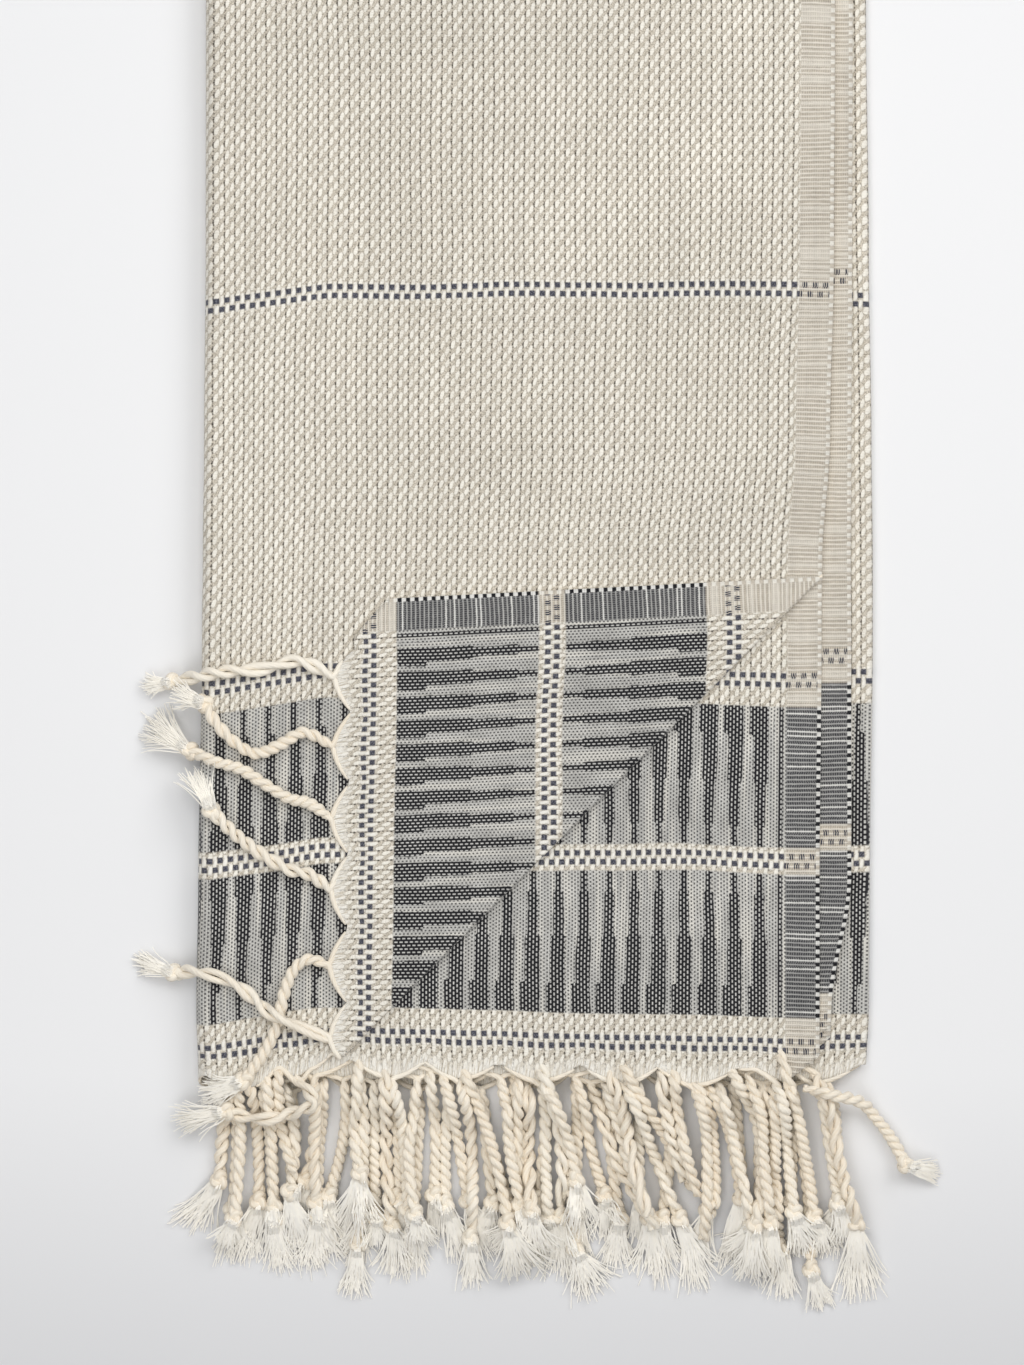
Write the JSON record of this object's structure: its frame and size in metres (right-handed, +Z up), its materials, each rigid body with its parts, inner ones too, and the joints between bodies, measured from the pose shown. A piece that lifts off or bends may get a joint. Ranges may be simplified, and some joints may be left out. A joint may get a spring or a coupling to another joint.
{
  "type": "folded hammam towel",
  "caption": "Woven cotton hammam towel with striped borders, folded into a long flat pad, one corner turned back, knotted fringe along both ends.",
  "frame": {"origin": "on the resting face, at the middle of the folded pad's width and length without its fringe", "axes": "+Z up from the surface it lies on; +Y along the pad from the fringed front to the folded back; +X to the pad's right, away from the fringe of the turned corner"},
  "size_m": [0.3025, 0.9129, 0.0145],
  "materials": {
    "woven_cloth": "matt slubby cotton in oatmeal and cream with charcoal, grey and blue-grey border stripes",
    "fringe_cotton": "soft matt ivory cotton cord"
  },
  "bodies": {
    "root": {"towel_cloth": "woven_cloth", "fringe_of_first_end": "fringe_cotton", "fringe_of_second_end": "fringe_cotton"}
  },
  "joints": []
}
